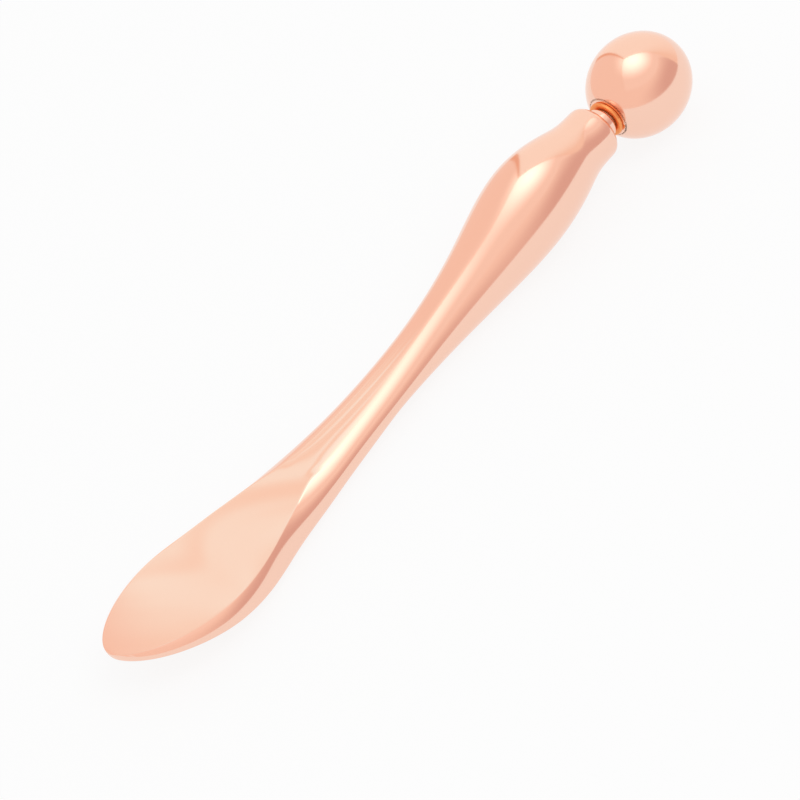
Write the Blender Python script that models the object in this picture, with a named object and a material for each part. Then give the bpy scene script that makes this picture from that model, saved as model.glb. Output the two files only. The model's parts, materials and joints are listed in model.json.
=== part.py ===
"""Facial and eye massage wand: a plated spatula handle with a ball that spins on a stud.

The wand is drawn straight first, in metres. The ball's centre is the origin, X runs along the stud
towards the free end of the ball, the handle lies towards -X and the face of the blade looks up.
The last step lays the wand on a table, on its ball and on the belly of its blade.
"""
import math

import bmesh
import bpy
import numpy
from mathutils import Matrix

# Ball, turned from plated zinc alloy
BALL_DIAMETER = 0.0150
BALL_LENGTH = 0.0163
BALL_SEAT_DIAMETER = 0.0064
BALL_BORE_DIAMETER = 0.0050
BALL_BORE_DEPTH = 0.0087

# Copper ring in the mouth of the ball, with a spigot in the ball's bore
RING_DIAMETER = 0.0057
RING_WIDTH = 0.0007
RING_ROUNDING = 0.0003
RING_SPIGOT_LENGTH = 0.0010
RING_POCKET_DIAMETER = 0.0040
RING_POCKET_DEPTH = 0.0004

# Bearing sleeve pressed into the ball behind the ring
SLEEVE_LENGTH = 0.0046
SLEEVE_CHAMFER = 0.0002

# Washers at both ends of the bearing
WASHER_DIAMETER = 0.0037
WASHER_THICKNESS = 0.0004

# Open clip that keeps the ball on the stud
CLIP_DIAMETER = 0.0042
CLIP_THICKNESS = 0.0004
CLIP_OPENING_ANGLE = math.radians(70)

# Stud, pressed into the handle
STUD_DIAMETER = 0.0025
STUD_ROOT_LENGTH = 0.0110
STUD_END_LENGTH = 0.0008
STUD_CHAMFER = 0.0002
STUD_GROOVE_DIAMETER = 0.0018

# Plated collar between the handle and the ring
COLLAR_DIAMETER = 0.0048
COLLAR_LENGTH = 0.0016
COLLAR_ROUNDING = 0.0004

# Handle, one casting: shoulder, grip, waist, root of the blade, blade
HANDLE_LENGTH = 0.10155
SHOULDER_DIAMETER = 0.0087
SHOULDER_LENGTH = 0.0036
SHOULDER_ROUNDING = 0.0012
GRIP_DIAMETER = 0.0132
GRIP_DISTANCE = 0.0159
GRIP_DROP = 0.00056
WAIST_WIDTH = 0.00760
WAIST_HEIGHT = 0.0051
WAIST_DISTANCE = 0.0492
WAIST_DROP = 0.00554
ROOT_WIDTH = 0.00885
ROOT_HEIGHT = 0.00470
ROOT_DISTANCE = 0.0605
ROOT_DROP = 0.00613
STUD_HOLE_EXTRA_DEPTH = 0.0004

# Blade, measured from the front face of the handle like the rest
HEEL_DISTANCE = 0.0740
HEEL_WIDTH = 0.01239
HEEL_FACE_DROP = 0.0041
HEEL_BELLY_DROP = 0.00886
BELLY_DISTANCE = 0.0795
BELLY_DROP = 0.00872
BELLY_WIDTH = 0.01494
BELLY_FACE_DROP = 0.0043
FACE_DISTANCE = 0.0846
FACE_DROP = 0.0040
FACE_ANGLE = math.radians(8.5)
BLADE_WIDTH = 0.01726
BLADE_WIDEST_FROM_TIP = 0.01410
TIP_THICKNESS = 0.0012

# Shares of the way and of the change of width, of height and of drop between two named places
SWELL_SHARES = (0.264, 0.315, 0.315, 0.00)
TAPER_SHARES = (0.345, 0.494, 0.338, 0.475)
THINNING_SHARES = (0.66, 0.942, 0.725, 0.805)

# Shares of the way and of the change of width, of crown and of belly on the flare of the blade
FLARE_SHARES = (0.6, 0.59, 0.35, 0.907)

# Shares of the way and of the rise of the belly from its deepest place to the tip
UNDERCUT_SHARES = ((0.4, 0.314), (0.67, 0.609), (0.85, 0.817))

# The flat face cuts the body off at a share of the height that its upper half would have, and the body
# is widest at a share of the way down from the face
FACE_CUT_SHARE = 0.5
WIDEST_SHARE = 0.622

# How square the belly of the blade is, and how pointed its tip: 2 is an ellipse
BELLY_POWER = 3.4
TIP_POWER = 1.76

# Clearances
SEAT_GAP = 0.0001
PRESS_GAP = 0.0001
RUNNING_GAP = 0.0001
END_PLAY = 0.0001

# Fineness of the solids
ROUND_SEGMENTS = 48
BALL_RINGS = 22
ROUNDING_STEPS = 4
SECTION_HALF_STEPS = 22
RIM_STEPS = 4
HANDLE_STEPS = 44
TIP_STEPS = 12
MERGE_DISTANCE = 0.0000001
SHARP_ANGLE = math.radians(35)
SETTLE_STEPS = 50
MOST_TILT = math.radians(20)

# Places along X that follow from the sizes
BALL_RADIUS = BALL_DIAMETER / 2
BALL_HALF_LENGTH = BALL_LENGTH / 2
SEAT_X = -BALL_HALF_LENGTH * math.sqrt(1 - (BALL_SEAT_DIAMETER / BALL_DIAMETER) ** 2)
RING_BACK_X = SEAT_X - SEAT_GAP
RING_FRONT_X = RING_BACK_X - RING_WIDTH
OUTER_WASHER_X = RING_FRONT_X + RING_POCKET_DEPTH - SEAT_GAP - WASHER_THICKNESS
COLLAR_BACK_X = OUTER_WASHER_X - END_PLAY
COLLAR_FRONT_X = COLLAR_BACK_X - COLLAR_LENGTH
FRONT_FACE_X = COLLAR_FRONT_X - SEAT_GAP
SLEEVE_START_X = RING_BACK_X + RING_SPIGOT_LENGTH + SEAT_GAP
SLEEVE_END_X = SLEEVE_START_X + SLEEVE_LENGTH
INNER_WASHER_X = SLEEVE_END_X + END_PLAY
CLIP_X = INNER_WASHER_X + WASHER_THICKNESS + SEAT_GAP
STUD_END_X = CLIP_X + CLIP_THICKNESS + SEAT_GAP + STUD_END_LENGTH
STUD_ROOT_X = FRONT_FACE_X - STUD_ROOT_LENGTH
RUNNING_BORE_RADIUS = STUD_DIAMETER / 2 + RUNNING_GAP
PRESS_BORE_RADIUS = STUD_DIAMETER / 2 + PRESS_GAP
PRESSED_RADIUS = BALL_BORE_DIAMETER / 2 - PRESS_GAP

# Colours, roughness and metallic value of each finish
FINISHES = {
    "rose_plate": ((0.98, 0.55, 0.40, 1), 0.08, 1.0),
    "copper": ((0.95, 0.30, 0.08, 1), 0.15, 1.0),
    "bronze": ((0.60, 0.38, 0.18, 1), 0.35, 1.0),
    "steel": ((0.62, 0.62, 0.64, 1), 0.25, 1.0),
    "spring_steel": ((0.30, 0.30, 0.32, 1), 0.35, 1.0),
    "nylon": ((0.85, 0.84, 0.80, 1), 0.45, 0.0),
}


def clear_scene():
    """Remove whatever the opening file holds."""
    for thing in list(bpy.data.objects):
        bpy.data.objects.remove(thing, do_unlink=True)


def finish(piece, finish_name):
    """Give a piece its own material, in one of the finishes."""
    colour, roughness, metallic = FINISHES[finish_name]
    material = bpy.data.materials.new(f"{piece.name}_{finish_name}")
    material.use_nodes = True
    shader = material.node_tree.nodes["Principled BSDF"]
    shader.inputs["Base Color"].default_value = colour
    shader.inputs["Roughness"].default_value = roughness
    shader.inputs["Metallic"].default_value = metallic
    material.diffuse_color = colour
    piece.data.materials.append(material)


def empty(name, parent=None):
    """A named place that pieces hang from."""
    place = bpy.data.objects.new(name, None)
    place.parent = parent
    bpy.context.scene.collection.objects.link(place)
    return place


def piece_from(bm, name, finish_name, parent):
    """Turn a finished bmesh into a named object with its material."""
    bmesh.ops.remove_doubles(bm, verts=bm.verts[:], dist=MERGE_DISTANCE)
    bmesh.ops.recalc_face_normals(bm, faces=bm.faces[:])
    mesh = bpy.data.meshes.new(name)
    bm.to_mesh(mesh)
    bm.free()
    mesh.shade_smooth()
    mesh.set_sharp_from_angle(angle=SHARP_ANGLE)
    piece = bpy.data.objects.new(name, mesh)
    piece.parent = parent
    bpy.context.scene.collection.objects.link(piece)
    finish(piece, finish_name)
    return piece


def turned(name, outline, finish_name, parent, opening=0.0):
    """Turn an outline of (x, radius) points about X, all the way round or short of an opening."""
    bm = bmesh.new()
    verts = [bm.verts.new((x, radius, 0)) for x, radius in outline]
    edges = [bm.edges.new(pair) for pair in zip(verts, verts[1:])]
    on_axis = outline[0][1] == 0 and outline[-1][1] == 0
    if not on_axis:
        edges.append(bm.edges.new((verts[-1], verts[0])))
    swept = bmesh.ops.spin(bm, geom=verts + edges, cent=(0, 0, 0), axis=(1, 0, 0), dvec=(0, 0, 0),
                           angle=math.tau - opening, steps=ROUND_SEGMENTS, use_merge=not opening)
    if opening:
        bm.faces.new(verts)
        bm.faces.new([item for item in swept["geom_last"] if isinstance(item, bmesh.types.BMVert)])
    return piece_from(bm, name, finish_name, parent)


def corner(x, radius, size, start, steps=ROUNDING_STEPS):
    """Quarter circle of a rounded edge about (x, radius), from one quarter turn to the next."""
    angles = [math.pi / 2 * (start + step / steps) for step in range(steps + 1)]
    return [(x + size * math.cos(angle), radius + size * math.sin(angle)) for angle in angles]


def ball_outline():
    """Drilled bore, flat seat round its mouth, and the round outside up to the far pole."""
    bore = BALL_BORE_DIAMETER / 2
    seat = BALL_SEAT_DIAMETER / 2
    bore_end = SEAT_X + BALL_BORE_DEPTH
    points = [(bore_end + bore / 2, 0), (bore_end, bore), (SEAT_X, bore)]
    start = math.asin(seat / BALL_RADIUS)
    for step in range(BALL_RINGS + 1):
        angle = start + (math.pi - start) * step / BALL_RINGS
        points.append((-BALL_HALF_LENGTH * math.cos(angle), BALL_RADIUS * math.sin(angle)))
    points[-1] = (BALL_HALF_LENGTH, 0)
    return points


def ring_outline():
    """Rounded flange outside the ball, spigot inside it, and a pocket for the outer washer."""
    flange = RING_DIAMETER / 2
    pocket = RING_POCKET_DIAMETER / 2
    inner = RUNNING_BORE_RADIUS
    points = corner(RING_BACK_X - RING_ROUNDING, flange - RING_ROUNDING, RING_ROUNDING, 0)
    points += corner(RING_FRONT_X + RING_ROUNDING, flange - RING_ROUNDING, RING_ROUNDING, 1)
    points += [(RING_FRONT_X, pocket), (RING_FRONT_X + RING_POCKET_DEPTH, pocket)]
    points += [(RING_FRONT_X + RING_POCKET_DEPTH, inner), (RING_BACK_X + RING_SPIGOT_LENGTH, inner)]
    points += [(RING_BACK_X + RING_SPIGOT_LENGTH, PRESSED_RADIUS), (RING_BACK_X, PRESSED_RADIUS)]
    return points


def tube_outline(start, end, inner, outer, edge=0.0):
    """Plain tube between two places, with its outer edges broken if an edge size is given."""
    if not edge:
        return [(start, inner), (start, outer), (end, outer), (end, inner)]
    return [(start, inner), (start, outer - edge), (start + edge, outer),
            (end - edge, outer), (end, outer - edge), (end, inner)]


def collar_outline():
    """Rounded bead with a bore for the stud."""
    radius = COLLAR_DIAMETER / 2 - COLLAR_ROUNDING
    points = corner(COLLAR_BACK_X - COLLAR_ROUNDING, radius, COLLAR_ROUNDING, 0)
    points += corner(COLLAR_FRONT_X + COLLAR_ROUNDING, radius, COLLAR_ROUNDING, 1)
    return points + [(COLLAR_FRONT_X, PRESS_BORE_RADIUS), (COLLAR_BACK_X, PRESS_BORE_RADIUS)]


def stud_outline():
    """Root, journal, groove for the clip and a short end, with both ends chamfered."""
    radius = STUD_DIAMETER / 2
    groove = STUD_GROOVE_DIAMETER / 2
    groove_start = CLIP_X - SEAT_GAP
    groove_end = CLIP_X + CLIP_THICKNESS + SEAT_GAP
    return [(STUD_ROOT_X, 0), (STUD_ROOT_X, radius - STUD_CHAMFER), (STUD_ROOT_X + STUD_CHAMFER, radius),
            (groove_start, radius), (groove_start, groove), (groove_end, groove), (groove_end, radius),
            (STUD_END_X - STUD_CHAMFER, radius), (STUD_END_X, radius - STUD_CHAMFER), (STUD_END_X, 0)]


def smooth_curve(points, start_slope=None, end_slope=None):
    """Cubic spline through (distance, value) points; an end with no slope given runs out straight."""
    places = numpy.array([place for place, value in points])
    values = numpy.array([value for place, value in points])
    gaps = numpy.diff(places)
    rises = numpy.diff(values) / gaps
    count = len(points)
    system = numpy.zeros((count, count))
    right = numpy.zeros(count)
    for index in range(1, count - 1):
        system[index, index - 1:index + 2] = (gaps[index], 2 * (gaps[index - 1] + gaps[index]),
                                              gaps[index - 1])
        right[index] = 3 * (gaps[index] * rises[index - 1] + gaps[index - 1] * rises[index])
    system[0, :2] = (1, 0) if start_slope is not None else (2, 1)
    right[0] = start_slope if start_slope is not None else 3 * rises[0]
    system[-1, -2:] = (0, 1) if end_slope is not None else (1, 2)
    right[-1] = end_slope if end_slope is not None else 3 * rises[-1]
    slopes = numpy.linalg.solve(system, right)

    def value_at(place):
        index = min(max(int(numpy.searchsorted(places, place)) - 1, 0), count - 2)
        share = (place - places[index]) / gaps[index]
        back = 1 - share
        return float(values[index] * (1 + 2 * share) * back ** 2
                     + values[index + 1] * (3 - 2 * share) * share ** 2
                     + gaps[index] * share * back * (slopes[index] * back - slopes[index + 1] * share))

    return value_at


def eased(share):
    """Smooth step from 0 to 1."""
    share = min(max(share, 0), 1)
    return share * share * (3 - 2 * share)


def mixed(first, second, share):
    """Value at a share of the way from the first to the second."""
    return first + (second - first) * share


def face_height(distance):
    """Height of the flat face of the blade."""
    return -FACE_DROP + (distance - FACE_DISTANCE) * math.tan(FACE_ANGLE)


def oval_station(distance, width, height, drop):
    """Oval place on the handle: its distance, half width, crown height and belly height."""
    return (distance, width / 2, height / 2 - drop, -height / 2 - drop)


def station_between(first, second, shares):
    """Oval place between two others, at shares of the way and of the changes of size and drop."""
    way_share, width_share, height_share, drop_share = shares
    distance = mixed(first[0], second[0], way_share)
    half_width = mixed(first[1], second[1], width_share)
    height = mixed(first[2] - first[3], second[2] - second[3], height_share)
    drop = mixed(-first[2] - first[3], -second[2] - second[3], drop_share) / 2
    return oval_station(distance, 2 * half_width, height, drop)


def handle_stations():
    """The places that shape the handle, from the shoulder to the deepest place of the belly."""
    shoulder = oval_station(SHOULDER_LENGTH, SHOULDER_DIAMETER, SHOULDER_DIAMETER, 0)
    grip = oval_station(GRIP_DISTANCE, GRIP_DIAMETER, GRIP_DIAMETER, GRIP_DROP)
    waist = oval_station(WAIST_DISTANCE, WAIST_WIDTH, WAIST_HEIGHT, WAIST_DROP)
    root = oval_station(ROOT_DISTANCE, ROOT_WIDTH, ROOT_HEIGHT, ROOT_DROP)
    heel = (HEEL_DISTANCE, HEEL_WIDTH / 2, -HEEL_FACE_DROP, -HEEL_BELLY_DROP)
    belly = (BELLY_DISTANCE, BELLY_WIDTH / 2, -BELLY_FACE_DROP, -BELLY_DROP)
    flare = tuple(mixed(first, second, share) for first, second, share in zip(root, heel, FLARE_SHARES))
    return [shoulder, station_between(shoulder, grip, SWELL_SHARES), grip,
            station_between(grip, waist, TAPER_SHARES), station_between(grip, waist, THINNING_SHARES),
            waist, root, flare, heel, belly]


def handle_lines():
    """Half width, crown height and belly height as functions of the distance from the front face."""
    stations = handle_stations()
    widest = HANDLE_LENGTH - BLADE_WIDEST_FROM_TIP
    tip_belly = face_height(HANDLE_LENGTH) - TIP_THICKNESS
    undercut = [(mixed(BELLY_DISTANCE, HANDLE_LENGTH, way), mixed(-BELLY_DROP, tip_belly, rise))
                for way, rise in UNDERCUT_SHARES]
    widths = [(station[0], station[1]) for station in stations] + [(widest, BLADE_WIDTH / 2)]
    crowns = [(station[0], station[2]) for station in stations] + [(FACE_DISTANCE, -FACE_DROP)]
    bellies = [(station[0], station[3]) for station in stations] + undercut
    bellies.append((HANDLE_LENGTH, tip_belly))
    return (smooth_curve(widths, 0, 0), smooth_curve(crowns, 0, math.tan(FACE_ANGLE)),
            smooth_curve(bellies, 0))


def handle_sizes(distance, lines):
    """Half width, crown height and belly height at one distance from the front face."""
    width_line, crown_line, belly_line = lines
    shoulder = SHOULDER_DIAMETER / 2
    widest = HANDLE_LENGTH - BLADE_WIDEST_FROM_TIP
    if distance < SHOULDER_ROUNDING:
        inset = SHOULDER_ROUNDING - distance
        shoulder += math.sqrt(max(SHOULDER_ROUNDING ** 2 - inset ** 2, 0)) - SHOULDER_ROUNDING
    if distance < SHOULDER_LENGTH:
        return shoulder, shoulder, -shoulder
    if distance > widest:
        past = (distance - widest) / BLADE_WIDEST_FROM_TIP
        half_width = BLADE_WIDTH / 2 * (1 - past ** TIP_POWER) ** (1 / TIP_POWER)
    else:
        half_width = width_line(distance)
    crown = crown_line(distance) if distance < FACE_DISTANCE else face_height(distance)
    return half_width, crown, belly_line(distance)


def handle_section(distance, lines):
    """Points round the handle: over the crown, or across the face cut into it, and under the belly."""
    half_width, crown, belly = handle_sizes(distance, lines)
    flattened = eased((distance - ROOT_DISTANCE) / (BELLY_DISTANCE - ROOT_DISTANCE))
    widest = mixed(crown, belly, mixed(0.5, WIDEST_SHARE, flattened))
    uncut = (crown - widest) / mixed(1, FACE_CUT_SHARE, flattened)
    rim = math.asin(mixed(1, FACE_CUT_SHARE, flattened))
    squared = eased((distance - WAIST_DISTANCE) / (ROOT_DISTANCE - WAIST_DISTANCE))
    belly_power = mixed(2, BELLY_POWER, squared)
    points = []
    for step in range(2 * SECTION_HALF_STEPS):
        if step <= SECTION_HALF_STEPS:
            angle = face_angle(min(step, SECTION_HALF_STEPS - step), rim, flattened)
            across = half_width * math.cos(angle) * (1 if step < SECTION_HALF_STEPS / 2 else -1)
            height = widest + min(uncut * math.sin(angle), crown - widest)
        else:
            angle = math.pi * step / SECTION_HALF_STEPS
            reach = (abs(math.cos(angle)) ** belly_power
                     + abs(math.sin(angle)) ** belly_power) ** (-1 / belly_power)
            across = half_width * reach * math.cos(angle)
            height = widest + (widest - belly) * reach * math.sin(angle)
        points.append((FRONT_FACE_X - distance, across, height))
    return points


def face_angle(step, rim, flattened):
    """Angle of a point between the widest place and the middle of the face, with one on its rim."""
    middle = SECTION_HALF_STEPS / 2
    if step <= RIM_STEPS:
        bunched = rim * step / RIM_STEPS
    else:
        bunched = mixed(rim, math.pi / 2, (step - RIM_STEPS) / (middle - RIM_STEPS))
    return mixed(math.pi / 2 * step / middle, bunched, flattened)


def handle_distances():
    """Distances of the handle's sections, from the tip to the front face."""
    widest = HANDLE_LENGTH - BLADE_WIDEST_FROM_TIP
    tip = [widest + BLADE_WIDEST_FROM_TIP * math.sin(math.pi / 2 * step / TIP_STEPS)
           for step in range(TIP_STEPS)]
    long = [mixed(widest, SHOULDER_LENGTH, step / HANDLE_STEPS) for step in range(1, HANDLE_STEPS + 1)]
    rounding = [SHOULDER_ROUNDING * (1 - math.sin(math.pi / 2 * step / ROUNDING_STEPS))
                for step in range(ROUNDING_STEPS + 1)]
    return tip[::-1] + long + rounding


def circle_points(x, radius):
    """Points of a hole's rim, in step with the points of a handle section."""
    angles = [math.pi * step / SECTION_HALF_STEPS for step in range(2 * SECTION_HALF_STEPS)]
    return [(x, radius * math.cos(angle), radius * math.sin(angle)) for angle in angles]


def lofted(name, start, sections, end, finish_name, parent):
    """Skin a row of closed sections, drawn together to a point at both ends."""
    bm = bmesh.new()
    loops = [[bm.verts.new(point) for point in section] for section in sections]
    first, last = bm.verts.new(start), bm.verts.new(end)
    for near, far in zip(loops, loops[1:]):
        for index in range(len(near)):
            before = index - 1
            bm.faces.new((near[before], near[index], far[index], far[before]))
    for index in range(len(loops[0])):
        before = index - 1
        bm.faces.new((first, loops[0][index], loops[0][before]))
        bm.faces.new((last, loops[-1][before], loops[-1][index]))
    return piece_from(bm, name, finish_name, parent)


def make_handle(parent):
    """Handle casting with a drilled hole for the stud in its front face."""
    lines = handle_lines()
    sections = [handle_section(distance, lines) for distance in handle_distances()]
    hole_end = STUD_ROOT_X - STUD_HOLE_EXTRA_DEPTH
    sections.append(circle_points(FRONT_FACE_X, PRESS_BORE_RADIUS))
    sections.append(circle_points(hole_end, PRESS_BORE_RADIUS))
    tip = (FRONT_FACE_X - HANDLE_LENGTH, 0, face_height(HANDLE_LENGTH) - TIP_THICKNESS / 2)
    drill_point = (hole_end - PRESS_BORE_RADIUS, 0, 0)
    return lofted("spatula_handle", tip, sections, drill_point, "rose_plate", parent)


def make_fixed_pieces(parent):
    """Collar, stud, washers and clip, which stay with the handle."""
    turned("neck_collar", collar_outline(), "rose_plate", parent)
    turned("axle_stud", stud_outline(), "steel", parent)
    washers = (("outer_thrust_washer", OUTER_WASHER_X), ("inner_thrust_washer", INNER_WASHER_X))
    for name, start in washers:
        outline = tube_outline(start, start + WASHER_THICKNESS, RUNNING_BORE_RADIUS, WASHER_DIAMETER / 2)
        turned(name, outline, "nylon", parent)
    clip_bore = STUD_GROOVE_DIAMETER / 2 + SEAT_GAP
    clip = tube_outline(CLIP_X, CLIP_X + CLIP_THICKNESS, clip_bore, CLIP_DIAMETER / 2)
    turned("retaining_clip", clip, "spring_steel", parent, CLIP_OPENING_ANGLE)


def make_spinning_pieces(parent):
    """Ball, copper ring and bearing sleeve, which turn together about the stud."""
    sleeve = tube_outline(SLEEVE_START_X, SLEEVE_END_X, RUNNING_BORE_RADIUS, PRESSED_RADIUS,
                          SLEEVE_CHAMFER)
    turned("mouth_ring", ring_outline(), "copper", parent)
    turned("bearing_sleeve", sleeve, "bronze", parent)
    return turned("ball", ball_outline(), "rose_plate", parent)


def points_of(pieces, turn):
    """All corners of the pieces after a turn, as rows of x, y and z."""
    return numpy.array([turn @ vert.co for piece in pieces for vert in piece.data.vertices])


def lay_on_table(wand, handle, ball):
    """Tilt the wand until the ball and the belly touch the table, and centre it over the origin."""
    low, high = 0, MOST_TILT
    for _ in range(SETTLE_STEPS):
        tilt = (low + high) / 2
        turn = Matrix.Rotation(tilt, 3, "Y")
        if points_of([handle], turn)[:, 2].min() < points_of([ball], turn)[:, 2].min():
            low = tilt
        else:
            high = tilt
    corners = points_of([handle, ball], Matrix.Rotation(tilt, 3, "Y"))
    lowest, highest = corners.min(axis=0), corners.max(axis=0)
    middle = (lowest + highest) / 2
    wand.rotation_euler = (0, tilt, 0)
    wand.location = (-middle[0], -middle[1], -lowest[2])


def main():
    """Build every piece and lay the wand down."""
    clear_scene()
    wand = empty("wand")
    spin = empty("ball_spin_axis", wand)
    handle = make_handle(wand)
    make_fixed_pieces(wand)
    ball = make_spinning_pieces(spin)
    lay_on_table(wand, handle, ball)
    bpy.context.view_layer.update()


main()
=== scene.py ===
"""Looks of a facial and eye massage wand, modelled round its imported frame.

Lengths are in metres. Pieces are drawn in the wand's own frame and then laid where the frame says:
there the ball's centre is the origin, X runs along the stud towards the free end of the ball, the
handle lies towards -X and the face of the blade looks up.
"""
import json
import math

import bmesh
import bpy
import numpy
from bpy.props import FloatProperty, FloatVectorProperty, IntProperty, PointerProperty
from mathutils import Matrix, Vector


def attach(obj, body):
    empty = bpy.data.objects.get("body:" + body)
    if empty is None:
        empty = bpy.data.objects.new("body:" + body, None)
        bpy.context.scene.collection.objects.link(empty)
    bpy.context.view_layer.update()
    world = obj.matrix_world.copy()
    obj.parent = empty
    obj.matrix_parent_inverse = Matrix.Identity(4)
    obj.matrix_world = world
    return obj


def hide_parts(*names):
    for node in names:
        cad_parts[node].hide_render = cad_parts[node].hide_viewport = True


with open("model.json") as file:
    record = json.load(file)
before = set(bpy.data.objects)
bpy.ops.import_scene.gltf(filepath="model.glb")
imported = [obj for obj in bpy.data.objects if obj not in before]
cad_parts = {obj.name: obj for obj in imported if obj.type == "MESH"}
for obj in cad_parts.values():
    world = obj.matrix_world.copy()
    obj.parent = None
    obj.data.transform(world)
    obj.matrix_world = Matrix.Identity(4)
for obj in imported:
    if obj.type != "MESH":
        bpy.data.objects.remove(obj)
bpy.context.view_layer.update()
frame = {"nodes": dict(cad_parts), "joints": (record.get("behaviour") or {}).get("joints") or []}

bl_info = {
    "name": "Massage wand looks",
    "version": (1, 0, 0),
    "blender": (4, 5, 0),
    "location": "3D View > Sidebar > Wand",
    "description": "Models and finishes a plated massage wand round its frame",
    "category": "Object",
}

# The photograph, in pixels: its size, the wand's line and the ball's place along and across that line
PICTURE_SIZE = 800
TIP_PIXEL = Vector((107, 652))
LINE_PIXEL = Vector((640, 84))
BALL_ALONG, BALL_ACROSS = 777.5, -0.3
BALL_HALF_PIXELS = 51.7

# The camera, its sensor in millimetres
SENSOR = 36
CAMERA_TURN, CAMERA_TILT = math.radians(20), math.radians(40)
CLIP_START, CLIP_END = 0.01, 20

# Cloths of the light tent, and how far each one's glow reaches
TENT_WALL = 0.6
LEFT_AZIMUTH, RIGHT_AZIMUTH = -60, 54
CLOTH_WARM = (0.98, 0.81, 0.74)
CLOTH_PALE = (0.98, 0.80, 0.70)
CLOTH_BRIGHT = (1.03, 1.01, 0.97)
CLOTH_CEILING = (1.0, 0.86, 0.80)
CLOTH_DARK = (0.76, 0.54, 0.50)
LEFT_GLOW = 1.2
LEFT_REACH = (0.0, 0.16)
RIGHT_GLOW_RISE = 0.5
RIGHT_REACH = (0.10, 0.36)
CEILING_GLOW_PLACE = (0.10, 0.02)
CEILING_REACH = (0.0, 0.20)
SEAM_COLOUR = (0.88, 0.52, 0.38)
SEAM_REACH = (0.1, 0.2)
SEAM_WIDTH = 0.008
SEAM_INSET = 0.001
FRONT_MIDDLE = Vector((0.05, 0, 0))
FRONT_DISTANCE = 0.30
FRONT_START, FRONT_END, FRONT_STEP = -70, 64, 15
OPENING_AZIMUTH = 40
OPENING_RISE = 0.1
OPENING_REACH = (0.06, 0.26)
OPENING_SQUEEZE = (0.6, 0.6, 1)

# Floor and lamp
FLOOR_SIZE = 6
FLOOR_PAINT = (0.95, 0.95, 0.95, 1)
FLOOR_WHITE_SHARE = 0.85
LAMP_SIZE = 0.5
LAMP_DISTANCE = 0.9
LAMP_AZIMUTH, LAMP_ELEVATION = 40, 60

# Finishes: roughness, waves and grooves
PLATE_ROUGHNESS = (0.03, 0.06)
PLATE_WAVE, PLATE_WAVE_HEIGHT = 0.006, 0.000008
PLATE_PATCHES = (1, 0.985, 0.97, 1)
COPPER_ROUGHNESS = (0.08, 0.16)
COPPER_WAVE, COPPER_WAVE_HEIGHT = 0.004, 0.000004
COPPER_PATCHES = (1, 0.92, 0.85, 1)
WAVE_STRETCH = 4.0
HAZE_LOW, HAZE_HIGH = 0.35, 0.75
STEEL_ROUGHNESS, STEEL_PITCH = 0.22, 0.00012
BRONZE_ROUGHNESS, BRONZE_PITCH = 0.32, 0.00018
SPRING_ROUGHNESS, SPRING_PITCH = 0.35, 0.00040
GROOVE_STRENGTH, GROOVE_DEPTH = 0.6, 0.000004
NYLON_ROUGHNESS = 0.45
NYLON_GRAIN_STRENGTH, NYLON_GRAIN_DEPTH = 0.4, 0.000006

# Creased card that lights the face of the blade: creases are counted per metre along X, Y and Z
CARD_CENTRE = Vector((-0.0205, 0.0211, 0.0269))
CARD_FACING = Vector((-0.5585, -0.604, -0.568))
CARD_HALF_WIDTH = 0.030
CARD_HALF_HEIGHT = 0.022
CARD_INNER, CARD_OUTER = 0.016, 0.030
CARD_PLAIN = (1.0, 0.90, 0.82)
CARD_LIT = (1.03, 1.40, 1.50)
CARD_CREASES = (20, 20, 420)
CREASE_DEPTH = 1.3
CARD_RISE = 0.5

# The wand's own frame, laid in the world by the axis of the spinning ball
SPIN = frame["joints"][0]
WAND_X = Vector(SPIN["axis"]).normalized()
WAND_Y = Vector((0, 1, 0))
WAND_Z = WAND_X.cross(WAND_Y)
WAND = Matrix.Translation(SPIN["pos_m"]) @ Matrix((WAND_X, WAND_Y, WAND_Z)).transposed().to_4x4()

SAME_PLACE = 0.000002
MERGE = 0.0000005
SMOOTH_ANGLE = math.radians(40)
HOLE_CLEARANCE = 0.0002
QUAD = 4
FACING = 0.99
SEAT_SEGMENTS = 6
RIM_SEGMENTS = 8
MIDDLE_SHARE = 0.5
ELLIPSE_POWER = 2

# Share of the flat face's growth over which the steps gather at its rim
SPREAD_SHARE = 0.25


def wand_points(node):
    """Corners of a frame node in the wand's own frame, as rows of x, y and z."""
    back = WAND.inverted()
    return numpy.array([back @ vert.co for vert in frame["nodes"][node].data.vertices])


def places_along(points):
    """Groups of points that share a place along X, from the free end of the ball to the tip."""
    ordered = points[numpy.argsort(-points[:, 0])]
    breaks = numpy.nonzero(-numpy.diff(ordered[:, 0]) > SAME_PLACE)[0] + 1
    return numpy.split(ordered, breaks)


def radii(points):
    """Distances of points from the axis of the stud."""
    return numpy.hypot(points[:, 1], points[:, 2])


def handle_stations():
    """Place, half width, crown and belly of the frame's handle, from its front face to its tip."""
    stations = []
    for group in places_along(HANDLE_POINTS):
        half_width = group[:, 1].max()
        in_hole = group[0, 0] < HANDLE_FRONT and radii(group).max() < STUD_RADIUS + HOLE_CLEARANCE
        if half_width > SAME_PLACE and not in_hole:
            stations.append((group[0, 0], half_width, group[:, 2].max(), group[:, 2].min()))
    return stations


STUD_POINTS = wand_points("axle_stud")
STUD_END = STUD_POINTS[:, 0].min() - HOLE_CLEARANCE
STUD_RADIUS = radii(STUD_POINTS).max()
HANDLE_POINTS = wand_points("spatula_handle")
HANDLE_FRONT = HANDLE_POINTS[:, 0].max()
HANDLE_TIP = HANDLE_POINTS[HANDLE_POINTS[:, 0].argmin()]


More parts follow.
